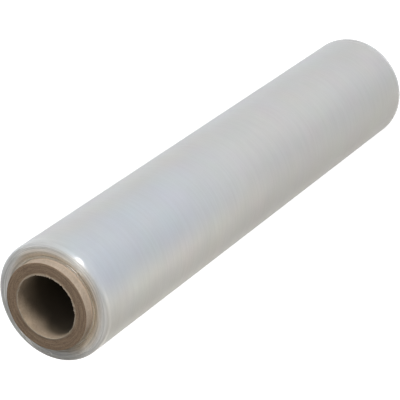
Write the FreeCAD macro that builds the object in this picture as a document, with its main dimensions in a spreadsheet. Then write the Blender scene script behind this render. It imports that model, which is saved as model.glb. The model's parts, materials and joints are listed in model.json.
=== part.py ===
import FreeCAD, Part
import math
import os

import Sketcher

# Stretch wrap roll: a clear film wound on a spiral-wound paper tube.
# The roll stands on one end of the tube. Its axis is Z, the floor is Z = 0,
# and X = Y = 0 is the axis. Both pieces are drawn about their own middle
# plane and lifted by half the tube's length.

DOCUMENT_NAME = "StretchWrapRoll"
SHEET_NAME = "sizes"
FULL_TURN = 360.0

# Driving sizes in millimetres, and counts
SIZES = {
    "core_bore": (50.0, "diameter of the tube's bore"),
    "core_wall": (10.0, "wall of the paper tube"),
    "core_length": (518.0, "tube from end to end"),
    "core_edge_round": (0.6, "rounding of the tube's outer end edges"),
    "liner_wall": (2.0, "inner ply bundle of the tube, up to its first joint line"),
    "ply_bundles": (3, "ply bundles outside the liner"),
    "ply_line_width": (0.4, "width of a joint line between ply bundles"),
    "ply_line_depth": (0.35, "depth of a joint line in the tube's end"),
    "liner_lip_width": (1.8, "run of the torn liner's raised lip at the top end"),
    "liner_lip_rise": (0.6, "height of the liner's lip over the tube's end"),
    "liner_lip_crest": (0.3, "run and drop of the lip's bevel on the bore side"),
    "film_width": (500.0, "web width of the film, where it lies on the tube"),
    "first_band_width": (1.7, "film wound first, next to the tube"),
    "first_band_start": (0.5, "film beside the tube, above the film's edge"),
    "first_band_rise": (0.5, "bulge of the first band out of the film's end"),
    "first_band_turns": (2, "turn edges that show on the first band"),
    "first_notch_rise": (0.2, "valley between the bands, above the film's edge"),
    "main_band_width": (8.0, "film of the main band"),
    "main_band_rise": (1.8, "bulge of the main band out of the film's end"),
    "main_band_turns": (8, "turn edges that show on the main band"),
    "main_notch_rise": (0.5, "shallow notch inside the shoulder, above the film's edge"),
    "turn_edge_height": (0.35, "height of one turn edge over its valleys"),
    "shoulder_step": (0.2, "run of the shoulder's inner side"),
    "shoulder_rise": (0.8, "top of the shoulder, above the film's edge"),
    "shoulder_round": (2.6, "rounding of the outer turns at the roll's end"),
}


def make_sheet(doc):
    """Put every driving size in a spreadsheet cell with its alias."""
    sheet = doc.addObject("Spreadsheet::Sheet", SHEET_NAME)
    for row, (alias, (value, note)) in enumerate(SIZES.items(), start=1):
        sheet.set(f"A{row}", alias)
        sheet.set(f"B{row}", str(value))
        sheet.setAlias(f"B{row}", alias)
        sheet.set(f"C{row}", note)
    doc.recompute()
    return sheet


def cell(alias):
    """The expression that reads one cell of the sheet."""
    return f"{SHEET_NAME}.{alias}"


# Places that several features share, as expressions on the sheet
CORE_RADIUS_IN = f"{cell('core_bore')} / 2"
CORE_RADIUS_OUT = f"({cell('core_bore')} / 2 + {cell('core_wall')})"
CORE_HALF = f"{cell('core_length')} / 2"
FILM_EDGE = f"{cell('film_width')} / 2"
FIRST_NOTCH_RADIUS = f"({CORE_RADIUS_OUT} + {cell('first_band_width')})"
MAIN_NOTCH_RADIUS = f"({FIRST_NOTCH_RADIUS} + {cell('main_band_width')})"
SHOULDER_RADIUS = f"({MAIN_NOTCH_RADIUS} + {cell('shoulder_step')})"
FILM_RADIUS = f"({SHOULDER_RADIUS} + {cell('shoulder_round')})"


def make_body(doc, label):
    """A body whose middle plane is half the tube's length above the floor."""
    body = doc.addObject("PartDesign::Body", label)
    body.Label = label
    body.setExpression("Placement.Base.z", CORE_HALF)
    return body


def origin_plane(body, role):
    """The plane of the body's own origin that has this role."""
    for feature in body.Origin.OriginFeatures:
        if feature.Role == role:
            return feature
    raise ValueError(f"{body.Label} has no {role}")


def section_sketch(body, name):
    """A sketch on the body's XZ plane: across is the radius, up is the axis."""
    sketch = body.newObject("Sketcher::SketchObject", name)
    sketch.AttachmentSupport = [(origin_plane(body, "XZ_Plane"), "")]
    sketch.MapMode = "FlatFace"
    return sketch


def bind_corner(sketch, line, radius, height):
    """Tie the start point of a line to a radius and a height of the sheet."""
    for kind, expression in (("DistanceX", radius), ("DistanceY", height)):
        value = sketch.evalExpression(expression)
        index = sketch.addConstraint(Sketcher.Constraint(kind, -1, 1, line, 1, float(value)))
        sketch.setExpression(f"Constraints[{index}]", expression)


def corner_point(sketch, radius, height):
    """A corner's place in the sketch, worked out from the sheet."""
    return FreeCAD.Vector(float(sketch.evalExpression(radius)), float(sketch.evalExpression(height)), 0)


def draw_chain(sketch, corners):
    """Draw bound lines from each corner to the next and return their numbers.

    The last corner only ends the last line; what joins there binds it.
    """
    points = [corner_point(sketch, radius, height) for radius, height in corners]
    lines = []
    for (radius, height), start, end in zip(corners, points, points[1:]):
        line = sketch.addGeometry(Part.LineSegment(start, end))
        if lines:
            sketch.addConstraint(Sketcher.Constraint("Coincident", lines[-1], 2, line, 1))
        bind_corner(sketch, line, radius, height)
        lines.append(line)
    return lines


def draw_outline(sketch, corners):
    """Draw a closed outline of bound lines."""
    lines = draw_chain(sketch, corners + corners[:1])
    sketch.addConstraint(Sketcher.Constraint("Coincident", lines[-1], 2, lines[0], 1))


def turn_about_axis(body, kind, name, sketch):
    """Turn a section all the way round the roll's axis."""
    feature = body.newObject(kind, name)
    feature.Profile = sketch
    feature.ReferenceAxis = (sketch, ["V_Axis"])
    feature.Angle = FULL_TURN
    sketch.Visibility = False
    return feature


def mirror_to_other_end(body, name, feature):
    """Repeat a feature on the other side of the body's middle plane."""
    mirrored = body.newObject("PartDesign::Mirrored", name)
    mirrored.Originals = [feature]
    mirrored.MirrorPlane = (origin_plane(body, "XY_Plane"), [""])
    body.Tip = mirrored
    return mirrored


def outer_end_edges(shape):
    """Names of the edges that run round the largest radius of a turned shape."""
    largest = max(edge.Curve.Radius for edge in shape.Edges if isinstance(edge.Curve, Part.Circle))
    return [
        f"Edge{number}"
        for number, edge in enumerate(shape.Edges, start=1)
        if isinstance(edge.Curve, Part.Circle) and math.isclose(edge.Curve.Radius, largest)
    ]


# The paper tube
def make_core_tube(doc):
    """Spiral-wound tube with soft outer edges, a torn liner and ply lines in its ends."""
    body = make_body(doc, "core_tube")
    wall = section_sketch(body, "tube_wall")
    draw_outline(
        wall,
        [
            (CORE_RADIUS_IN, f"-{CORE_HALF}"),
            (CORE_RADIUS_OUT, f"-{CORE_HALF}"),
            (CORE_RADIUS_OUT, CORE_HALF),
            (CORE_RADIUS_IN, CORE_HALF),
        ],
    )
    tube = turn_about_axis(body, "PartDesign::Revolution", "tube", wall)
    doc.recompute()

    soft_edges = body.newObject("PartDesign::Fillet", "soft_edges")
    soft_edges.Base = (tube, outer_end_edges(tube.Shape))
    soft_edges.setExpression("Radius", cell("core_edge_round"))
    doc.recompute()

    # The saw tears the liner and pushes it up all round the bore's mouth
    lip_section = section_sketch(body, "lip_section")
    draw_outline(
        lip_section,
        [
            (CORE_RADIUS_IN, CORE_HALF),
            (f"{CORE_RADIUS_IN} + {cell('liner_lip_width')}", CORE_HALF),
            (f"{CORE_RADIUS_IN} + {cell('liner_lip_crest')}", f"{CORE_HALF} + {cell('liner_lip_rise')}"),
            (CORE_RADIUS_IN, f"{CORE_HALF} + {cell('liner_lip_rise')} - {cell('liner_lip_crest')}"),
        ],
    )
    turn_about_axis(body, "PartDesign::Revolution", "liner_lip", lip_section)
    doc.recompute()

    ply_section = section_sketch(body, "ply_section")
    for bundle in range(int(SIZES["ply_bundles"][0])):
        pitch = f"({cell('core_wall')} - {cell('liner_wall')}) / {cell('ply_bundles')}"
        middle = f"({CORE_RADIUS_IN} + {cell('liner_wall')} + {bundle} * {pitch})"
        half_line = f"{cell('ply_line_width')} / 2"
        draw_outline(
            ply_section,
            [
                (f"{middle} - {half_line}", CORE_HALF),
                (middle, f"{CORE_HALF} - {cell('ply_line_depth')}"),
                (f"{middle} + {half_line}", CORE_HALF),
            ],
        )
    ply_lines = turn_about_axis(body, "PartDesign::Groove", "ply_lines", ply_section)
    doc.recompute()
    mirror_to_other_end(body, "ply_lines_below", ply_lines)
    return body


# The wound film
def band_corners(band):
    """Corners of one band of turns, from its outer valley in to its inner one.

    The band bulges out of the roll's end like half a wave, and each turn edge
    on it is a low ridge with a valley on both sides.
    """
    corners = []
    for half_step in range(2 * band["turns"], -1, -1):
        part = half_step / (2 * band["turns"])
        radius = f"{band['inner_radius']} + {part} * {band['width']}"
        chord = f"{1 - part} * {band['inner_rise']} + {part} * {band['outer_rise']}"
        bulge = f"{math.sin(math.pi * part)} * {band['rise']}"
        ridge = f"{half_step % 2} * {cell('turn_edge_height')}"
        corners.append((radius, f"{FILM_EDGE} + {chord} + {bulge} + {ridge}"))
    return corners


def film_end_corners():
    """All corners of the film's end, from the shoulder's notch to the tube."""
    main_band = {
        "inner_radius": FIRST_NOTCH_RADIUS,
        "width": cell("main_band_width"),
        "rise": cell("main_band_rise"),
        "turns": int(SIZES["main_band_turns"][0]),
        "inner_rise": cell("first_notch_rise"),
        "outer_rise": cell("main_notch_rise"),
    }
    first_band = {
        "inner_radius": CORE_RADIUS_OUT,
        "width": cell("first_band_width"),
        "rise": cell("first_band_rise"),
        "turns": int(SIZES["first_band_turns"][0]),
        "inner_rise": cell("first_band_start"),
        "outer_rise": cell("first_notch_rise"),
    }
    # Both bands share the valley between them, so it is drawn once
    return band_corners(main_band) + band_corners(first_band)[1:]


def make_film_wrap(doc):
    """All the film's turns as one solid, with wound ends and soft shoulders."""
    body = make_body(doc, "film_wrap")
    half = section_sketch(body, "half_section")
    shoulder_top = f"{FILM_EDGE} + {cell('shoulder_rise')}"
    shoulder_base = f"{shoulder_top} - {cell('shoulder_round')}"

    # From the shoulder's top over the turn edges, down the tube and out again
    lines = draw_chain(
        half,
        [(SHOULDER_RADIUS, shoulder_top)]
        + film_end_corners()
        + [(CORE_RADIUS_OUT, "0"), (FILM_RADIUS, "0"), (FILM_RADIUS, shoulder_base)],
    )
    first, last = lines[0], lines[-1]

    # The shoulder's quarter round closes the section
    centre = corner_point(half, SHOULDER_RADIUS, shoulder_base)
    rounding = float(half.evalExpression(cell("shoulder_round")))
    circle = Part.Circle(centre, FreeCAD.Vector(0, 0, 1), rounding)
    shoulder = half.addGeometry(Part.ArcOfCircle(circle, 0, math.pi / 2))
    half.addConstraint(Sketcher.Constraint("Coincident", shoulder, 2, first, 1))
    half.addConstraint(Sketcher.Constraint("Tangent", last, 2, shoulder, 1))
    half.addConstraint(Sketcher.Constraint("Vertical", shoulder, 3, shoulder, 2))

    half_roll = turn_about_axis(body, "PartDesign::Revolution", "half_roll", half)
    doc.recompute()
    mirror_to_other_end(body, "other_half", half_roll)
    return body


# Checks and files
def check_document(doc):
    """Stop at any feature that failed."""
    for feature in doc.Objects:
        broken = {"Invalid", "Error"} & set(feature.State)
        if broken:
            raise RuntimeError(f"{feature.Label}: {feature.State}")


def check_sub_part(body):
    """Stop unless a sub-part is one valid closed solid."""
    shape = body.Shape
    if shape.isNull() or not shape.isValid() or len(shape.Solids) != 1:
        raise RuntimeError(f"{body.Label} is not one valid solid")


def export_sub_parts(bodies):
    """Write each sub-part to a file named after it."""
    os.makedirs("parts", exist_ok=True)
    for body in bodies:
        body.Shape.exportStep(f"parts/{body.Label}.step")
        box = body.Shape.BoundBox
        print(
            f"{body.Label}: volume {body.Shape.Volume / 1000:.1f} cm3, "
            f"{len(body.Shape.Faces)} faces, "
            f"Z {box.ZMin:.2f} to {box.ZMax:.2f}"
        )


def main():
    doc = FreeCAD.newDocument(DOCUMENT_NAME)
    make_sheet(doc)
    bodies = [make_core_tube(doc), make_film_wrap(doc)]
    doc.recompute()
    check_document(doc)
    for body in bodies:
        check_sub_part(body)
    export_sub_parts(bodies)


main()
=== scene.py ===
import sys
import json
import logging
import math
from collections.abc import Callable, Sequence
from dataclasses import dataclass, field
from enum import Enum

import bpy
from mathutils import Matrix, Vector, noise


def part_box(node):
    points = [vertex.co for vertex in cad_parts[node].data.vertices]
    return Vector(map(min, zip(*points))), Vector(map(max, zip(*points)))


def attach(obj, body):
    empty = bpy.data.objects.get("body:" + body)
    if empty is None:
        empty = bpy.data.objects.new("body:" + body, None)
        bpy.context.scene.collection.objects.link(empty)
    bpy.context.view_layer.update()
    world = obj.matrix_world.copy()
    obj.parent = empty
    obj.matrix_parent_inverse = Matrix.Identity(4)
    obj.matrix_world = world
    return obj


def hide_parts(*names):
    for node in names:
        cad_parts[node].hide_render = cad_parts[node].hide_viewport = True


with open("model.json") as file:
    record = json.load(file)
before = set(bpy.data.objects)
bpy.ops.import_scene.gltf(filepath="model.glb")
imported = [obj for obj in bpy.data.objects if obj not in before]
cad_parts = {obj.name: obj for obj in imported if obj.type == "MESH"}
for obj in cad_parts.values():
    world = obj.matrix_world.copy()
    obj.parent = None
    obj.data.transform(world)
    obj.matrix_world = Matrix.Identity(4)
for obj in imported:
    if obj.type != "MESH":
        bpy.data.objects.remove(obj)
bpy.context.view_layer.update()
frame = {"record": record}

MM = 0.001
FULL_TURN = 2 * math.pi
WEB_HALF = 250.0 * MM
MERGE_DISTANCE = 1e-7

log = logging.getLogger("stretch_wrap_roll")

Feed = bpy.types.NodeSocket | float | tuple[float, ...]
Section = list[tuple[float, float]]
Triple = tuple[float, float, float]


class Slot(Enum):
    """Material slots of the record."""

    BOARD = "core_board"
    FILM = "stretch_film"


class BoardFace(Enum):
    """The three kinds of surface on the paper tube."""

    CUT_END = 0
    OUTER_PAPER = 1
    BORE_LINER = 2


# Node writing
class NodeWriter:
    """Adds and links the shader nodes of one material or of the world."""

    def __init__(self, owner: bpy.types.ID) -> None:
        """Start with an empty tree.

        Args:
            owner: The material or world that the nodes belong to.
        """
        owner.use_nodes = True
        self.tree = owner.node_tree
        self.tree.nodes.clear()

    def feed(self, socket: bpy.types.NodeSocket, value: Feed) -> None:
        """Link a socket to another one, or set its own value.

        Args:
            socket: The input socket.
            value: The socket to link from, or the value to set.
        """
        if isinstance(value, bpy.types.NodeSocket):
            self.tree.links.new(value, socket)
        else:
            socket.default_value = value

    def node(
        self, kind: str, inputs: dict[str | int, Feed] | None = None, **settings: object
    ) -> bpy.types.Node:
        """Add a node.

        Args:
            kind: The node's type name.
            inputs: Values or sockets by input name or number.
            **settings: Attributes of the node itself.

        Returns:
            The new node.
        """
        node = self.tree.nodes.new(kind)
        for name, value in settings.items():
            setattr(node, name, value)
        for key, value in (inputs or {}).items():
            self.feed(node.inputs[key], value)
        return node

    def math(self, operation: str, *values: Feed) -> bpy.types.NodeSocket:
        """Add a Math node and return its result."""
        return self.node("ShaderNodeMath", dict(enumerate(values)), operation=operation).outputs[0]

    def vector(self, operation: str, *values: Feed) -> bpy.types.Node:
        """Add a Vector Math node and return the node."""
        return self.node("ShaderNodeVectorMath", dict(enumerate(values)), operation=operation)

    def scaled(self, source: Feed, factor: float) -> bpy.types.NodeSocket:
        """Multiply a number by a constant."""
        return self.math("MULTIPLY", source, factor)

    def span(
        self, source: Feed, low: float, high: float, to_low: Feed = 0.0, to_high: Feed = 1.0
    ) -> bpy.types.NodeSocket:
        """Map a number smoothly from one range to another, held at both ends.

        Args:
            source: The number.
            low: Start of its own range.
            high: End of its own range.
            to_low: The result at the start.
            to_high: The result at the end.

        Returns:
            The mapped number.
        """
        inputs = {0: source, 1: low, 2: high, 3: to_low, 4: to_high}
        node = self.node("ShaderNodeMapRange", inputs, interpolation_type="SMOOTHSTEP")
        return node.outputs[0]

    def mix(self, factor: Feed, first: Feed, second: Feed, blend: str = "MIX") -> bpy.types.NodeSocket:
        """Mix two colours and return the result.

        Args:
            factor: Share of the second colour.
            first: The first colour.
            second: The second colour.
            blend: How they blend.

        Returns:
            The mixed colour.
        """
        inputs = {0: factor, 6: first, 7: second}
        return self.node("ShaderNodeMix", inputs, data_type="RGBA", blend_type=blend).outputs[2]

    def ramp(self, factor: Feed, stops: Sequence[tuple[float, Triple]]) -> bpy.types.NodeSocket:
        """Colour ramp through the given stops.

        Args:
            factor: The position along the ramp, 0 to 1.
            stops: Pairs of position and linear colour, in rising order.

        Returns:
            The ramp's colour.
        """
        node = self.node("ShaderNodeValToRGB", {0: factor})
        elements = node.color_ramp.elements
        while len(elements) < len(stops):
            elements.new(1.0)
        for element, (position, colour) in zip(elements, stops):
            element.position = position
            element.color = (*colour, 1.0)
        return node.outputs[0]

    def noise(
        self, vector: Feed, scale: float, detail: float = 2.0, roughness: float = 0.5
    ) -> bpy.types.Node:
        """Add a noise texture and return the node.

        Args:
            vector: The coordinates.
            scale: Features in one unit of them.
            detail: How many finer layers it has.
            roughness: How strong these are.

        Returns:
            The texture node.
        """
        inputs = {"Vector": vector, "Scale": scale, "Detail": detail, "Roughness": roughness}
        return self.node("ShaderNodeTexNoise", inputs)

    def bump(
        self, height: Feed, distance: float, strength: Feed, normal: Feed | None = None
    ) -> bpy.types.NodeSocket:
        """Add a bump of a real height in metres and return the normal.

        Args:
            height: The height map, 0 to 1.
            distance: Height in metres that 1 stands for.
            strength: How much of the bump shows, 0 to 1.
            normal: A normal to add it to.

        Returns:
            The bumped normal.
        """
        inputs: dict[str | int, Feed] = {"Height": height, "Distance": distance, "Strength": strength}
        if normal is not None:
            inputs["Normal"] = normal
        return self.node("ShaderNodeBump", inputs).outputs[0]


@dataclass
class RollPlace:
    """Where a shaded point lies on the roll, read from object coordinates."""

    writer: NodeWriter
    middle: float
    point: bpy.types.NodeSocket = field(init=False)
    radius: bpy.types.NodeSocket = field(init=False)
    height: bpy.types.NodeSocket = field(init=False)
    off_middle: bpy.types.NodeSocket = field(init=False)
    outward: bpy.types.NodeSocket = field(init=False)

    def __post_init__(self) -> None:
        """Work out the radius, the height, the distance from the middle and the outward direction."""
        self.point = self.writer.node("ShaderNodeTexCoord").outputs["Object"]
        flat = self.writer.vector("MULTIPLY", self.point, (1.0, 1.0, 0.0)).outputs[0]
        self.radius = self.writer.vector("LENGTH", flat).outputs["Value"]
        self.outward = self.writer.vector("NORMALIZE", flat).outputs[0]
        self.height = self.writer.node("ShaderNodeSeparateXYZ", {0: self.point}).outputs[2]
        self.off_middle = self.writer.math("ABSOLUTE", self.writer.math("SUBTRACT", self.height, self.middle))

    def rings(self, round_scale: float, step: float, measure: bpy.types.NodeSocket) -> bpy.types.NodeSocket:
        """Coordinates that change fast along a measure and slowly round the axis.

        Args:
            round_scale: How many features fit in a radian round the axis.
            step: Size in metres of one feature along the measure.
            measure: The radius or the height.

        Returns:
            A vector with no seam round the axis.
        """
        around = self.writer.vector("SCALE", self.outward)
        self.writer.feed(around.inputs["Scale"], round_scale)
        along = self.writer.node("ShaderNodeCombineXYZ", {2: self.writer.scaled(measure, 1 / step)})
        return self.writer.vector("ADD", around.outputs[0], along.outputs[0]).outputs[0]


# Sizes
@dataclass(frozen=True)
class RollSizes:
    """Sizes of the roll in metres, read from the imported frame."""

    bore_radius: float
    tube_radius: float
    tube_low: float
    cut_high: float
    film_radius: float
    middle: float

    @classmethod
    def from_frame(cls) -> "RollSizes":
        """Read the sizes from the CAD nodes and the record's mounts.

        Returns:
            The roll's sizes.
        """
        tube_low, tube_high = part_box("core_tube")
        film_low, film_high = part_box("film_wrap")
        bore = next(mount for mount in frame["record"]["mounts"] if mount["name"] == "core_bore")
        middle = (film_low.z + film_high.z) / 2
        return cls(
            bore_radius=bore["dims"]["r_mm"] * MM,
            tube_radius=tube_high.x,
            tube_low=tube_low.z,
            cut_high=2 * middle - tube_low.z,
            film_radius=film_high.x,
            middle=middle,
        )


# Modelling by section
def select_only(piece: bpy.types.Object) -> None:
    """Make one object the only selected and the active one.

    Args:
        piece: The object.
    """
    bpy.ops.object.select_all(action="DESELECT")
    piece.select_set(True)
    bpy.context.view_layer.objects.active = piece


def turn_section(name: str, section: Section, steps: int) -> bpy.types.Object:
    """Draw a closed section by extruding a point, and spin it round the axis.

    Args:
        name: The new object's name.
        section: Corners as radius and height in metres, in order round the section.
        steps: How many steps make the full turn.

    Returns:
        The turned solid, its object at the origin.
    """
    bpy.ops.object.select_all(action="DESELECT")
    bpy.ops.mesh.primitive_plane_add(size=MM, enter_editmode=True)
    bpy.ops.mesh.select_all(action="SELECT")
    bpy.ops.mesh.merge(type="CENTER")
    start = section[0]
    bpy.ops.transform.translate(value=(start[0], 0.0, start[1]))
    for here, there in zip(section, section[1:] + section[:1]):
        move = (there[0] - here[0], 0.0, there[1] - here[1])
        bpy.ops.mesh.extrude_region_move(TRANSFORM_OT_translate={"value": move})
    bpy.ops.mesh.select_all(action="SELECT")
    bpy.ops.mesh.remove_doubles(threshold=MERGE_DISTANCE)
    bpy.ops.mesh.spin(steps=steps, angle=FULL_TURN, center=(0.0, 0.0, 0.0), axis=(0.0, 0.0, 1.0))
    bpy.ops.mesh.select_all(action="SELECT")
    bpy.ops.mesh.remove_doubles(threshold=MERGE_DISTANCE)
    bpy.ops.mesh.normals_make_consistent(inside=False)
    bpy.ops.object.mode_set(mode="OBJECT")
    piece = bpy.context.active_object
    piece.name = piece.data.name = name
    return piece


def paint_faces(
    piece: bpy.types.Object,
    finishes: Sequence[bpy.types.Material],
    pick: Callable[[Vector, Vector], int],
) -> None:
    """Give the piece its materials and each face the one that suits its place.

    Args:
        piece: The mesh object.
        finishes: The materials, in slot order.
        pick: Gives the slot number from a face's centre and normal.
    """
    for finish in finishes:
        piece.data.materials.append(finish)
    for polygon in piece.data.polygons:
        polygon.material_index = pick(polygon.center, polygon.normal)


def smooth(piece: bpy.types.Object, angle_degrees: float) -> None:
    """Shade a piece smooth, with edges kept sharp above an angle.

    Args:
        piece: The mesh object.
        angle_degrees: The angle.
    """
    select_only(piece)
    bpy.ops.object.shade_smooth_by_angle(angle=math.radians(angle_degrees))


# Finishes
@dataclass(frozen=True)
class BoardFinish:
    """Spiral-wound grey-brown board with lighter paper outside and in the bore."""

    cut_colour: Triple = (0.345, 0.252, 0.176)
    cut_dark: Triple = (0.212, 0.149, 0.103)
    liner_ring_colour: Triple = (0.400, 0.335, 0.262)
    torn_edge_colour: Triple = (0.440, 0.378, 0.305)
    kraft_colour: Triple = (0.440, 0.362, 0.292)
    liner_colour: Triple = (0.400, 0.318, 0.238)
    seam_colour: Triple = (0.200, 0.150, 0.105)
    liner_wall: float = 2.0 * MM
    ply: float = 0.55 * MM
    seam_pitch: float = 104.0 * MM
    seam_width: float = 0.7 * MM
    dark_edge: float = 0.4
    dark_edge_reach: tuple[float, float] = (1.6 * MM, 0.6 * MM)
    dark_edge_way: Triple = (0.0, 1.0, 0.0)
    # Painted shade deep in the bore: its colour, share, depths and the side where it comes sooner
    painted_bore_shade_colour: Triple = (0.10, 0.08, 0.055)
    liner_shade: float = 0.92
    liner_shade_depths: tuple[float, float] = (4.0 * MM, 30.0 * MM)
    shade_way: Triple = (-0.985, 0.174, 0.0)
    film_lit_colour: Triple = (0.610, 0.508, 0.410)
    film_lit_depths: tuple[float, float] = (5.5 * MM, 8.6 * MM)
    roughness: float = 0.88
    sheen: float = 0.25

    def material(self, face: BoardFace, sizes: RollSizes) -> bpy.types.Material:
        """Make the material of one kind of surface.

        Args:
            face: The kind of surface.
            sizes: The roll's sizes.

        Returns:
            The material.
        """
        made = bpy.data.materials.new(f"board_{face.name.lower()}")
        writer = NodeWriter(made)
        place = RollPlace(writer, sizes.middle)
        if face is BoardFace.CUT_END:
            colour, normal = self.cut_end(writer, place, sizes)
        else:
            base = self.kraft_colour if face is BoardFace.OUTER_PAPER else self.liner_colour
            colour, normal = self.paper(writer, place, base)
            if face is BoardFace.BORE_LINER:
                colour = self.shaded_inside(writer, place, colour, sizes)
            else:
                colour = self.lit_by_film(writer, place, colour, sizes)
        inputs = {
            "Base Color": colour,
            "Roughness": self.roughness,
            "Normal": normal,
            "Specular IOR Level": self.sheen,
        }
        shader = writer.node("ShaderNodeBsdfPrincipled", inputs)
        writer.node("ShaderNodeOutputMaterial", {"Surface": shader.outputs[0]})
        return made

    def cut_end(self, writer: NodeWriter, place: RollPlace, sizes: RollSizes) -> tuple[Feed, Feed]:
        """Colour and normal of the sawn end, with its ply lines and torn inner edge.

        Args:
            writer: Adds the nodes.
            place: Where the shaded point lies.
            sizes: The roll's sizes.

        Returns:
            The colour and the normal.
        """
        ply_lines = writer.noise(place.rings(3.0, self.ply, place.radius), 1.0, 2.0, 0.6).outputs[0]
        fibres = writer.noise(place.point, 1100.0, 4.0, 0.7).outputs[0]
        stains = writer.noise(place.point, 160.0, 3.0, 0.6).outputs[0]
        shade = writer.math("ADD", writer.scaled(ply_lines, 0.5), writer.scaled(fibres, 0.5))
        board = writer.mix(writer.span(shade, 0.41, 0.57), (*self.cut_dark, 1.0), (*self.cut_colour, 1.0))
        board = writer.mix(writer.span(stains, 0.50, 0.80, 0.0, 0.45), board, (*self.cut_dark, 1.0))
        bundles = writer.noise(place.rings(1.6, 1.5 * MM, place.radius), 1.0, 1.0, 0.5).outputs[0]
        board = writer.mix(writer.span(bundles, 0.46, 0.66, 0.0, 0.6), board, (*self.cut_dark, 1.0))
        from_bore = writer.math("SUBTRACT", place.radius, sizes.bore_radius)
        wander = writer.scaled(writer.noise(place.outward, 3.0, 2.0).outputs[0], 0.8 * MM)
        into_liner = writer.math("SUBTRACT", from_bore, wander)
        liner = writer.span(into_liner, 0.1 * self.liner_wall, 0.8 * self.liner_wall, 0.7, 0.0)
        board = writer.mix(liner, board, (*self.liner_ring_colour, 1.0))
        edge_start, edge_end = (sizes.tube_radius - reach for reach in self.dark_edge_reach)
        dark_edge = writer.span(place.radius, edge_start, edge_end, 0.0, self.dark_edge)
        to_dark = writer.vector("DOT_PRODUCT", place.outward, self.dark_edge_way).outputs["Value"]
        dark_edge = writer.math("MULTIPLY", dark_edge, writer.span(to_dark, 0.0, 0.7))
        board = writer.mix(dark_edge, board, (*self.cut_dark, 1.0))
        torn = writer.span(into_liner, -0.5 * MM, 0.7 * MM, 1.0, 0.0)
        colour = writer.mix(torn, board, (*self.torn_edge_colour, 1.0))
        normal = writer.bump(ply_lines, 0.16 * MM, 0.5)
        return colour, writer.bump(fibres, 0.12 * MM, 0.6, normal)

    def paper(self, writer: NodeWriter, place: RollPlace, base: Triple) -> tuple[Feed, Feed]:
        """Colour and normal of a smooth paper face with fibres and its spiral seam.

        Args:
            writer: Adds the nodes.
            place: Where the shaded point lies.
            base: The paper's colour.

        Returns:
            The colour and the normal.
        """
        fibres = writer.noise(place.point, 700.0, 4.0, 0.7).outputs[0]
        cloud = writer.noise(place.point, 90.0, 3.0, 0.6).outputs[0]
        darker = tuple(channel * 0.82 for channel in base)
        lighter = tuple(channel * 1.10 for channel in base)
        shade = writer.math("ADD", writer.scaled(fibres, 0.5), writer.scaled(cloud, 0.5))
        paper = writer.mix(writer.span(shade, 0.35, 0.65), (*darker, 1.0), (*lighter, 1.0))
        seam = self.seam(writer, place)
        colour = writer.mix(writer.scaled(seam, 0.6), paper, (*self.seam_colour, 1.0))
        normal = writer.bump(fibres, 0.06 * MM, 0.5)
        return colour, writer.bump(writer.math("SUBTRACT", 1.0, seam), 0.15 * MM, 0.7, normal)

    def shaded_inside(self, writer: NodeWriter, place: RollPlace, colour: Feed, sizes: RollSizes) -> Feed:
        """Painted shade: the liner paper darkens away from the two mouths of the bore, sooner on one side.

        Args:
            writer: Adds the nodes.
            place: Where the shaded point lies.
            colour: The colour at the mouths.
            sizes: The roll's sizes.

        Returns:
            The shaded colour.
        """
        depth = writer.math("SUBTRACT", sizes.cut_high - sizes.middle, place.off_middle)
        to_shade = writer.vector("DOT_PRODUCT", place.outward, self.shade_way).outputs["Value"]
        depth = writer.math("MULTIPLY", depth, writer.span(to_shade, 0.40, 1.0, 1.0, 3.0))
        # Painted shade: darker liner deeper in the bore
        shade = writer.span(depth, *self.liner_shade_depths, 0.0, self.liner_shade)
        return writer.mix(shade, colour, (*self.painted_bore_shade_colour, 1.0))

    def lit_by_film(self, writer: NodeWriter, place: RollPlace, colour: Feed, sizes: RollSizes) -> Feed:
        """Lighter paper near the film, which carries light down to it.

        Args:
            writer: Adds the nodes.
            place: Where the shaded point lies.
            colour: The colour away from the film.
            sizes: The roll's sizes.

        Returns:
            The lit colour.
        """
        depth = writer.math("SUBTRACT", sizes.cut_high - sizes.middle, place.off_middle)
        light = writer.span(depth, *self.film_lit_depths)
        return writer.mix(light, colour, (*self.film_lit_colour, 1.0))

    def seam(self, writer: NodeWriter, place: RollPlace) -> bpy.types.NodeSocket:
        """How much a point lies on the spiral seam, 0 to 1.

        Args:
            writer: Adds the nodes.
            place: Where the shaded point lies.

        Returns:
            The share.
        """
        parts = writer.node("ShaderNodeSeparateXYZ", {0: place.point})
        angle = writer.math("ARCTAN2", parts.outputs[1], parts.outputs[0])
        turned = writer.scaled(angle, 1 / FULL_TURN)
        climbed = writer.scaled(place.height, 1 / self.seam_pitch)
        part = writer.math("FRACT", writer.math("ADD", turned, climbed))
        aside = writer.math("ABSOLUTE", writer.math("SUBTRACT", part, 0.5))
        half = self.seam_width / self.seam_pitch / 2
        return writer.span(aside, 0.4 * half, 1.4 * half, 1.0, 0.0)


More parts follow.
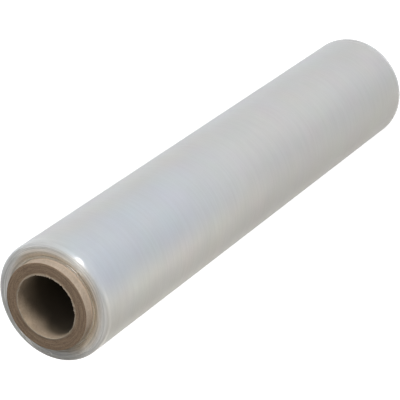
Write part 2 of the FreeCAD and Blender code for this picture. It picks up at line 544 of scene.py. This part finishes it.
@dataclass(frozen=True)
class FilmFinish:
    """Clear film in many turns: silvery and milky, brown where the tube shows through."""

    wall_colour: Triple = (0.465, 0.466, 0.467)
    # Painted light on one side and a painted cool reflection on another, near the roll's top: their colours,
    # where they start and their sides
    painted_light_colour: Triple = (0.570, 0.568, 0.552)
    painted_reflection_colour: Triple = (0.425, 0.455, 0.500)
    upper_rise: tuple[float, float] = (-0.02, 0.16)
    painted_light_way: Triple = (-0.82, -0.57, 0.0)
    painted_reflection_way: Triple = (0.139, -0.990, 0.0)
    ior: float = 2.0
    glow_through: float = 1.0
    glow_reach: float = 5.0 * MM
    wall_roughness: tuple[float, float] = (0.29, 0.33)
    end_roughness: float = 0.31
    end_stretch: float = 0.85
    shoulder_run: float = 2.4 * MM
    wall_line_colour: Triple = (0.27, 0.27, 0.28)
    end_line_tint: Triple = (0.50, 0.51, 0.50)
    cool_end_way: Triple = (0.174, 0.985, 0.0)
    # Painted shade on one side of the wound ends: its side and its tint
    painted_shade_way: Triple = (-0.743, 0.669, 0.0)
    painted_shade_tint: Triple = (0.56, 0.55, 0.54)
    shoulder_gloss: float = 1.0
    gloss_ior: float = 2.0
    gloss_roughness: float = 0.11
    gloss_depths: tuple[float, float] = (7.0 * MM, 2.5 * MM)
    gloss_radii: tuple[float, float] = (45.7 * MM, 45.0 * MM)
    # Colour from the tube out: film over brown board, then clearer and cooler turns
    end_stops: tuple[tuple[float, Triple], ...] = (
        (0.00, (0.740, 0.625, 0.465)),
        (0.14, (0.760, 0.645, 0.490)),
        (0.32, (0.780, 0.690, 0.570)),
        (0.55, (0.765, 0.720, 0.665)),
        (0.80, (0.740, 0.738, 0.738)),
        (1.00, (0.620, 0.628, 0.640)),
    )

    def material(self, sizes: RollSizes) -> bpy.types.Material:
        """Make the film's material: its wall, and the wound ends inside the shoulders.

        Args:
            sizes: The roll's sizes.

        Returns:
            The material.
        """
        made = bpy.data.materials.new("wound_stretch_film")
        writer = NodeWriter(made)
        place = RollPlace(writer, sizes.middle)
        end = writer.span(place.radius, sizes.film_radius - 0.05 * MM, sizes.film_radius - self.shoulder_run)
        mottle = writer.noise(place.point, 34.0, 2.0, 0.5)
        wall = self.wall_shade(writer, place, mottle, sizes)
        colour = writer.mix(end, wall, self.end_shade(writer, place, sizes))
        plain = writer.span(mottle.outputs[0], 0.3, 0.7, *self.wall_roughness)
        inputs = {
            "Base Color": colour,
            "Roughness": writer.node("ShaderNodeMix", {0: end, 2: plain, 3: self.end_roughness}).outputs[0],
            "IOR": self.ior,
            "Anisotropic": writer.scaled(end, self.end_stretch),
            "Anisotropic Rotation": 0.25,
            "Tangent": writer.node("ShaderNodeTangent", direction_type="RADIAL", axis="Z").outputs[0],
            "Subsurface Weight": self.glow_through,
            "Subsurface Radius": (1.0, 1.0, 1.0),
            "Subsurface Scale": self.glow_reach,
            "Normal": self.surface(writer, place, end),
            "Coat Weight": self.end_gloss(writer, place),
            "Coat Roughness": self.gloss_roughness,
            "Coat IOR": self.gloss_ior,
            "Coat Normal": self.glints(writer, place),
        }
        shader = writer.node("ShaderNodeBsdfPrincipled", inputs)
        writer.node("ShaderNodeOutputMaterial", {"Surface": shader.outputs[0]})
        return made

    def wall_shade(
        self, writer: NodeWriter, place: RollPlace, mottle: bpy.types.Node, sizes: RollSizes
    ) -> Feed:
        """Colour of the roll's side: painted light on one side and a painted cool reflection on another, both
        near its top, with faint lines round it.

        Args:
            writer: Adds the nodes.
            place: Where the shaded point lies.
            mottle: The noise that clouds the film.
            sizes: The roll's sizes.

        Returns:
            The colour.
        """
        above = writer.math("SUBTRACT", place.height, sizes.middle)
        clouds = writer.scaled(writer.math("SUBTRACT", mottle.outputs[0], 0.5), 0.10)
        rise = writer.span(writer.math("ADD", above, clouds), *self.upper_rise)
        to_light = writer.vector("DOT_PRODUCT", place.outward, self.painted_light_way).outputs["Value"]
        to_cool = writer.vector("DOT_PRODUCT", place.outward, self.painted_reflection_way).outputs["Value"]
        # Painted light on one side near the top
        light = writer.math("MULTIPLY", rise, writer.span(to_light, 0.35, 0.75))
        # Painted cool reflection on one side near the top
        cool = writer.math("MULTIPLY", rise, writer.span(to_cool, 0.70, 0.97))
        base = writer.mix(light, (*self.wall_colour, 1.0), (*self.painted_light_colour, 1.0))
        base = writer.mix(cool, base, (*self.painted_reflection_colour, 1.0))
        tinted = writer.mix(0.10, base, mottle.outputs["Color"], "SOFT_LIGHT")
        lines = writer.noise(place.rings(1.5, 1.6 * MM, place.height), 1.0, 3.0, 0.6).outputs[0]
        return writer.mix(writer.span(lines, 0.35, 0.7, 0.0, 0.14), tinted, (*self.wall_line_colour, 1.0))

    def end_shade(self, writer: NodeWriter, place: RollPlace, sizes: RollSizes) -> Feed:
        """Colour of the turn edges, from the tube out, darkest on one side with painted shade.

        Args:
            writer: Adds the nodes.
            place: Where the shaded point lies.
            sizes: The roll's sizes.

        Returns:
            The colour.
        """
        depth = writer.math("SUBTRACT", place.radius, sizes.tube_radius)
        part = writer.scaled(depth, 1 / (sizes.film_radius - sizes.tube_radius))
        wander = writer.noise(place.rings(1.2, 1.4 * MM, place.radius), 1.0, 2.0, 0.5).outputs[0]
        part = writer.math("ADD", part, writer.scaled(writer.math("SUBTRACT", wander, 0.5), 0.22))
        to_cool = writer.vector("DOT_PRODUCT", place.outward, self.cool_end_way).outputs["Value"]
        part = writer.math("ADD", part, writer.span(to_cool, -0.1, 0.6, 0.0, 0.45))
        clear = writer.ramp(part, self.end_stops)
        lines = writer.noise(place.rings(1.0, 0.75 * MM, place.radius), 1.0, 1.0, 0.6).outputs[0]
        line_share = writer.span(lines, 0.42, 0.58, 0.0, 0.50)
        lined = writer.mix(line_share, clear, (*self.end_line_tint, 1.0), "MULTIPLY")
        # Painted shade on one side of the turn edges
        to_dark = writer.vector("DOT_PRODUCT", place.outward, self.painted_shade_way).outputs["Value"]
        return writer.mix(writer.span(to_dark, 0.70, 1.0), lined, (*self.painted_shade_tint, 1.0), "MULTIPLY")

    def end_gloss(self, writer: NodeWriter, place: RollPlace) -> Feed:
        """Clear gloss on the turn edges and the shoulder, gone on the side.

        Args:
            writer: Adds the nodes.
            place: Where the shaded point lies.

        Returns:
            The weight of the gloss.
        """
        inside = writer.span(place.radius, *self.gloss_radii, self.shoulder_gloss, 1.0)
        depth = writer.math("SUBTRACT", WEB_HALF, place.off_middle)
        return writer.math("MULTIPLY", inside, writer.span(depth, *self.gloss_depths))

    def glints(self, writer: NodeWriter, place: RollPlace) -> Feed:
        """Normal of the gloss: rounded turn edges with small dents, softer on the shoulder.

        Args:
            writer: Adds the nodes.
            place: Where the shaded point lies.

        Returns:
            The normal.
        """
        along = writer.math("SUBTRACT", place.radius, place.off_middle)
        edges = writer.noise(place.rings(1.0, 1.5 * MM, along), 1.0, 0.0, 0.5).outputs[0]
        dents = writer.noise(place.rings(20.0, 1.2 * MM, along), 1.0, 0.0, 0.5).outputs[0]
        normal = writer.bump(edges, 2.0 * MM, writer.span(place.radius, *self.gloss_radii, 0.05, 1.0))
        return writer.bump(dents, 0.7 * MM, writer.span(place.radius, *self.gloss_radii, 0.0, 1.0), normal)

    def surface(self, writer: NodeWriter, place: RollPlace, end: bpy.types.NodeSocket) -> Feed:
        """Normal of the film: soft folds on the side, fine turn edges and dents on the ends.

        Args:
            writer: Adds the nodes.
            place: Where the shaded point lies.
            end: How much the point lies on a wound end, 0 to 1.

        Returns:
            The normal.
        """
        long_way = writer.vector("MULTIPLY", place.point, (1.0, 1.0, 0.30)).outputs[0]
        folds = writer.noise(long_way, 45.0, 1.0, 0.5).outputs[0]
        lines = writer.noise(place.rings(1.5, 1.6 * MM, place.height), 1.0, 2.0, 0.5).outputs[0]
        turns = writer.noise(place.rings(2.0, 0.30 * MM, place.radius), 1.0, 2.0, 0.6).outputs[0]
        dents = writer.noise(place.rings(26.0, 0.8 * MM, place.radius), 1.0, 2.0, 0.6).outputs[0]
        normal = writer.bump(folds, 0.5 * MM, 0.4)
        normal = writer.bump(lines, 0.015 * MM, 0.5, normal)
        normal = writer.bump(turns, 0.05 * MM, writer.scaled(end, 0.5), normal)
        return writer.bump(dents, 0.26 * MM, writer.scaled(end, 0.8), normal)


# The paper tube
@dataclass
class PaperTube:
    """The spiral-wound tube, with torn paper at the mouths of its bore."""

    sizes: RollSizes
    finish: BoardFinish = field(default_factory=BoardFinish)
    steps: int = 384
    edge_round: float = 0.6
    # Lip of the torn liner: run from the bore and rise over the cut end
    lip: tuple[tuple[float, float], ...] = (
        (0.00, 0.00),
        (0.04, 0.26),
        (0.14, 0.46),
        (0.32, 0.55),
        (0.55, 0.50),
        (0.85, 0.36),
        (1.20, 0.18),
        (1.60, 0.05),
    )
    ply_joints: tuple[float, ...] = (2.0, 4.667, 7.333)
    joint_half_width: float = 0.2
    joint_depth: float = 0.15
    tear_reach: float = 2.2
    tear_depth: float = 1.0
    tear_drop: float = 0.55
    torn_way: Triple = (0.35, -0.94, 0.0)
    torn_least: float = 0.25
    wall_spans: int = 12

    def end_section(self, lip_share: float) -> Section:
        """Section across one end in millimetres, from the bore to the outside.

        Args:
            lip_share: 1 for an end with the torn lip, 0 for one without.

        Returns:
            Distance from the bore and depth below the cut end, in order.
        """
        wall = (self.sizes.tube_radius - self.sizes.bore_radius) / MM
        points = [(0.0, depth) for depth in (4.0, 2.2, 1.4, 0.8, 0.4)]
        points += [(run, -rise * lip_share) for run, rise in self.lip]
        for joint in self.ply_joints:
            points.append((joint - self.joint_half_width, 0.0))
            points.append((joint, self.joint_depth))
            points.append((joint + self.joint_half_width, 0.0))
        for step in range(5):
            angle = math.pi / 2 * step / 4
            run = wall - self.edge_round * (1 - math.sin(angle))
            points.append((run, self.edge_round * (1 - math.cos(angle))))
        points += [(wall, 3.0), (wall, 7.0)]
        return points

    def section(self) -> Section:
        """The whole closed section in metres.

        Returns:
            Radius and height of each corner, in order.
        """
        bore = self.sizes.bore_radius
        upper = [(bore + r * MM, self.sizes.cut_high - d * MM) for r, d in self.end_section(1.0)]
        lower = [(bore + r * MM, self.sizes.tube_low + d * MM) for r, d in reversed(self.end_section(0.0))]
        low, high = lower[-1][1], upper[0][1]
        spans = [(bore, low + (high - low) * step / self.wall_spans) for step in range(1, self.wall_spans)]
        return upper + lower + spans

    def tear_mouths(self, piece: bpy.types.Object) -> None:
        """Make the paper at both mouths of the bore ragged, most on one side.

        Args:
            piece: The tube's object.
        """
        reach = self.tear_reach * MM
        torn_way = Vector(self.torn_way)
        for vertex in piece.data.vertices:
            place = vertex.co.copy()
            radius = math.hypot(place.x, place.y)
            at_top = place.z > self.sizes.middle
            from_end = abs(self.sizes.cut_high - place.z if at_top else place.z - self.sizes.tube_low)
            off_mouth = math.hypot(radius - self.sizes.bore_radius, from_end)
            if off_mouth > reach:
                continue
            around = Vector((place.x, place.y, 0.0)) / radius
            torn = self.torn_least + (1 - self.torn_least) * (0.5 + 0.5 * around.dot(torn_way))
            weight = torn * (1 - off_mouth / reach)
            coarse = noise.noise(around * 7.0 + Vector((0.0, 0.0, 4.0 if at_top else 9.0)))
            fine = noise.noise(around * 30.0)
            frayed = noise.noise(place * 900.0)
            inward = self.tear_depth * MM * weight * (0.9 * coarse + 1.5 * fine + 0.6 * frayed)
            vertex.co -= around * inward
            drop = self.tear_drop * MM * weight * max(0.0, 0.3 + coarse + fine)
            vertex.co.z -= drop if at_top else -drop

    def face_kind(self, centre: Vector, normal: Vector) -> int:
        """Slot number of a face from its place and direction.

        Args:
            centre: The face's centre.
            normal: The face's normal.

        Returns:
            The slot number.
        """
        if abs(normal.z) > 0.5:
            return BoardFace.CUT_END.value
        outward = centre.x * normal.x + centre.y * normal.y
        return (BoardFace.OUTER_PAPER if outward > 0 else BoardFace.BORE_LINER).value

    def build(self) -> bpy.types.Object:
        """Model, tear, paint and seat the tube.

        Returns:
            The tube's object.
        """
        piece = turn_section("paper_tube", self.section(), self.steps)
        self.tear_mouths(piece)
        finishes = [self.finish.material(face, self.sizes) for face in BoardFace]
        paint_faces(piece, finishes, self.face_kind)
        smooth(piece, 35.0)
        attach(piece, "root")
        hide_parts("core_tube")
        return piece


# The wound film
@dataclass(frozen=True)
class TurnBand:
    """One band of turns at the roll's end, in millimetres."""

    inner_radius: float
    width: float
    inner_rise: float
    outer_rise: float
    bulge: float
    turns: int

    def points(self, edge_height: float, fine_height: float, per_turn: int) -> Section:
        """Points of the band from its outer valley to its inner one.

        Args:
            edge_height: Height of one turn edge over its valleys.
            fine_height: Height of the single film layers on it.
            per_turn: Points on one turn edge.

        Returns:
            Radius and height over the film's edge, in millimetres.
        """
        count = self.turns * per_turn
        points = []
        for step in range(count, -1, -1):
            part = step / count
            chord = self.inner_rise + (self.outer_rise - self.inner_rise) * part
            phase = (step % per_turn) / per_turn
            ridge = edge_height * (1 - abs(2 * phase - 1)) + fine_height * (step % 2)
            height = chord + self.bulge * math.sin(math.pi * part) + ridge
            points.append((self.inner_radius + self.width * part, height))
        return points


@dataclass
class FilmWrap:
    """All turns of the film, with wound ends and soft shoulders."""

    sizes: RollSizes
    finish: FilmFinish = field(default_factory=FilmFinish)
    steps: int = 256
    web_half: float = WEB_HALF / MM
    bands: tuple[TurnBand, ...] = (
        TurnBand(inner_radius=36.7, width=8.4, inner_rise=0.2, outer_rise=1.5, bulge=1.1, turns=8),
        TurnBand(inner_radius=35.0, width=1.7, inner_rise=0.5, outer_rise=0.2, bulge=0.5, turns=2),
    )
    points_per_turn: int = 8
    edge_height: float = 0.22
    fine_height: float = 0.03
    shoulder_radius: float = 45.1
    shoulder_rise: float = 1.5
    shoulder_round: float = 2.4
    shoulder_reach: float = 4.2
    shoulder_points: int = 24
    wall_spans: int = 48
    sway: float = 0.16 * MM

    def end_section(self) -> Section:
        """Section of one end in millimetres, from the wall in to the tube.

        Returns:
            Radius and height from the film's middle, in order.
        """
        points = []
        for step in range(self.shoulder_points + 1):
            angle = math.pi / 2 * (1 - step / self.shoulder_points)
            radius = self.shoulder_radius + self.shoulder_round * math.sin(angle)
            rise = self.shoulder_rise - self.shoulder_reach * (1 - math.cos(angle))
            points.append((radius, self.web_half + rise))
        for band in self.bands:
            turns = band.points(self.edge_height, self.fine_height, self.points_per_turn)
            shared = points[-1][0] - turns[0][0] < 0.01
            points += [(r, self.web_half + rise) for r, rise in turns[1 if shared else 0:]]
        return points

    def section(self) -> Section:
        """The whole closed section in metres.

        Returns:
            Radius and height of each corner, in order.
        """
        middle = self.sizes.middle
        upper = [(r * MM, middle + z * MM) for r, z in self.end_section()]
        lower = [(r, 2 * middle - z) for r, z in reversed(upper)]
        low, high = lower[-1][1], upper[0][1]
        spans = self.wall_spans
        wall = [(upper[0][0], low + (high - low) * step / spans) for step in range(1, spans)]
        return upper + lower + wall

    def sway_turns(self, piece: bpy.types.Object) -> None:
        """Let the turn edges wander a little, as a wound web does.

        Args:
            piece: The film's object.
        """
        web_edge = (self.web_half + self.shoulder_rise - self.shoulder_reach) * MM
        for vertex in piece.data.vertices:
            place = vertex.co
            radius = math.hypot(place.x, place.y)
            side = 1 if place.z > self.sizes.middle else -1
            beyond = abs(place.z - self.sizes.middle) - web_edge
            if beyond < 0 or radius < self.sizes.tube_radius + 0.1 * MM:
                continue
            around = Vector((place.x, place.y, 0.0)) / radius
            ring = Vector((0.0, 0.0, radius / MM * 1.3 + side * 40))
            slow = noise.noise(around * 1.5 + ring * 0.35)
            quick = noise.noise(around * 9.0 + ring)
            fade = min(1.0, (self.sizes.film_radius - radius) / (2.5 * MM))
            vertex.co.z += side * self.sway * fade * min(0.0, 1.6 * slow + 0.7 * quick - 0.5)

    def build(self) -> bpy.types.Object:
        """Model, sway, paint and seat the film.

        Returns:
            The film's object.
        """
        piece = turn_section("wound_film", self.section(), self.steps)
        self.sway_turns(piece)
        piece.data.materials.append(self.finish.material(self.sizes))
        smooth(piece, 60.0)
        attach(piece, "root")
        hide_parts("film_wrap")
        return piece


# The studio
@dataclass(frozen=True)
class Lamp:
    """One soft box aimed at the roll's upper end: it lights matt surfaces or makes glints."""

    name: str
    toward: Triple
    size: tuple[float, float]
    power: float
    diffuse: bool
    aim: Triple = (0.0, 0.0, 0.515)
    distance: float = 2.2
    colour: Triple = (1.0, 0.975, 0.94)

    def build(self) -> None:
        """Hang the lamp and turn it to its aim."""
        bpy.ops.object.select_all(action="DESELECT")
        toward = Vector(self.toward).normalized()
        bpy.ops.object.light_add(type="AREA", location=Vector(self.aim) + toward * self.distance)
        lamp = bpy.context.active_object
        lamp.name = lamp.data.name = self.name
        lamp.rotation_euler = (-toward).to_track_quat("-Z", "Y").to_euler()
        lamp.data.shape = "RECTANGLE"
        lamp.data.size, lamp.data.size_y = self.size
        lamp.data.energy = self.power
        lamp.data.color = self.colour
        lamp.visible_camera = False
        lamp.visible_diffuse = self.diffuse
        lamp.visible_glossy = not self.diffuse


@dataclass(frozen=True)
class Studio:
    """White floor, soft surroundings, a key light and a lamp for glints.

    The photographed roll lay on its side, so its room's own up direction is
    tilted in the frame of the standing roll. The surroundings keep that tilt:
    a pale ceiling above it, a warm table below it and a dim band between.
    """

    room_up: Triple = (0.891, -0.157, -0.4255)
    room_stops: tuple[tuple[float, Triple], ...] = (
        (0.00, (1.00, 0.98, 0.94)),
        (0.12, (0.85, 0.83, 0.79)),
        (0.20, (0.40, 0.38, 0.35)),
        (0.32, (0.45, 0.43, 0.39)),
        (0.39, (1.05, 1.01, 0.92)),
        (0.49, (1.12, 1.08, 1.00)),
        (0.52, (0.72, 0.73, 0.75)),
        (0.60, (0.76, 0.79, 0.82)),
        (0.72, (0.88, 0.93, 0.98)),
        (0.85, (0.95, 0.98, 1.00)),
        (0.95, (0.74, 0.75, 0.76)),
        (1.00, (0.55, 0.55, 0.55)),
    )
    overhead: float = 0.50
    overhead_gloss: float = 0.85
    floor_size: float = 12.0
    floor_glow: float = 0.97
    lamps: tuple[Lamp, ...] = (
        Lamp("key", toward=(0.420, -0.880, 0.200), size=(0.36, 0.80), power=35.0, diffuse=True),
        Lamp("glint", toward=(0.425, -0.830, 0.340), size=(0.42, 4.20), power=48.0, diffuse=False),
        Lamp("upper_glint", toward=(0.279, -0.085, 0.957), size=(0.40, 0.50), power=4.0, diffuse=False),
    )

    def surroundings(self) -> None:
        """Soft light from all round: bright below the roll's top, dimmer above it."""
        world = bpy.data.worlds.new("soft_room")
        bpy.context.scene.world = world
        writer = NodeWriter(world)
        direction = writer.node("ShaderNodeTexCoord").outputs["Generated"]
        tilt = writer.vector("DOT_PRODUCT", direction, self.room_up).outputs["Value"]
        part = writer.math("MULTIPLY_ADD", tilt, 0.5, 0.5)
        room = writer.ramp(part, self.room_stops)
        height = writer.node("ShaderNodeSeparateXYZ", {0: direction}).outputs[2]
        rays = writer.node("ShaderNodeLightPath").outputs
        extra = self.overhead_gloss - self.overhead
        above = writer.math("MULTIPLY_ADD", rays["Is Glossy Ray"], extra, self.overhead)
        dim = writer.span(height, -0.25, 0.15, 1.0, above)
        lit = writer.node("ShaderNodeBackground", {"Color": room, "Strength": dim})
        plain = writer.node("ShaderNodeBackground", {"Color": (1.0, 1.0, 1.0, 1.0), "Strength": 1.0})
        seen = {0: rays["Is Camera Ray"], 1: lit.outputs[0], 2: plain.outputs[0]}
        both = writer.node("ShaderNodeMixShader", seen)
        writer.node("ShaderNodeOutputWorld", {"Surface": both.outputs[0]})

    def floor(self) -> None:
        """A large pale floor that glows enough to read as white paper."""
        bpy.ops.object.select_all(action="DESELECT")
        bpy.ops.mesh.primitive_plane_add(size=self.floor_size)
        plane = bpy.context.active_object
        plane.name = "floor"
        paper = bpy.data.materials.new("floor_paper")
        writer = NodeWriter(paper)
        inputs = {
            "Base Color": (0.35, 0.35, 0.35, 1.0),
            "Roughness": 1.0,
            "Emission Color": (1.0, 1.0, 1.0, 1.0),
            "Emission Strength": self.floor_glow,
        }
        shader = writer.node("ShaderNodeBsdfPrincipled", inputs)
        writer.node("ShaderNodeOutputMaterial", {"Surface": shader.outputs[0]})
        plane.data.materials.append(paper)
        plane.visible_diffuse = plane.visible_glossy = plane.visible_shadow = False

    def build(self) -> None:
        """Set up the surroundings, the floor, the lamps and the colour view."""
        self.surroundings()
        self.floor()
        for lamp in self.lamps:
            lamp.build()
        bpy.context.scene.view_settings.view_transform = "Standard"


@dataclass(frozen=True)
class PhotoCamera:
    """Camera at the photo's viewing angle, above the standing roll and turned."""

    distance: float = 1.6761
    from_axis_degrees: float = 37.259
    turn_degrees: float = 234.489
    pan_right: float = -0.01034
    pan_up: float = -0.00882
    lens: float = 181.48
    sensor: float = 36.0

    def build(self, sizes: RollSizes) -> None:
        """Place the camera and make it the scene's own.

        Args:
            sizes: The roll's sizes; the camera is placed from its middle.
        """
        tilt = math.radians(self.from_axis_degrees)
        turn = math.radians(self.turn_degrees)
        back = Vector((0.0, -math.sin(tilt), math.cos(tilt)))
        level = Vector((1.0, 0.0, 0.0))
        rise = back.cross(level)
        right = math.cos(turn) * level + math.sin(turn) * rise
        up = -math.sin(turn) * level + math.cos(turn) * rise
        location = Vector((0.0, 0.0, sizes.middle)) + back * self.distance
        forward = (-back + self.pan_right * right + self.pan_up * up).normalized()
        right = (right - right.dot(forward) * forward).normalized()
        up = right.cross(forward)
        bpy.ops.object.select_all(action="DESELECT")
        bpy.ops.object.camera_add(location=location)
        camera = bpy.context.active_object
        axes = Matrix((right, up, -forward)).transposed()
        camera.matrix_world = Matrix.Translation(location) @ axes.to_4x4()
        camera.data.lens = self.lens
        camera.data.sensor_width = self.sensor
        bpy.context.scene.camera = camera


def main() -> None:
    """Build the roll's pieces, then the studio and the camera."""
    logging.basicConfig(level=logging.INFO, format="%(name)s: %(message)s", stream=sys.stdout)
    sizes = RollSizes.from_frame()
    for part in (PaperTube(sizes), FilmWrap(sizes)):
        piece = part.build()
        log.info("%s: %d faces", piece.name, len(piece.data.polygons))
    Studio().build()
    PhotoCamera().build(sizes)


if __name__ == "__main__":
    main()
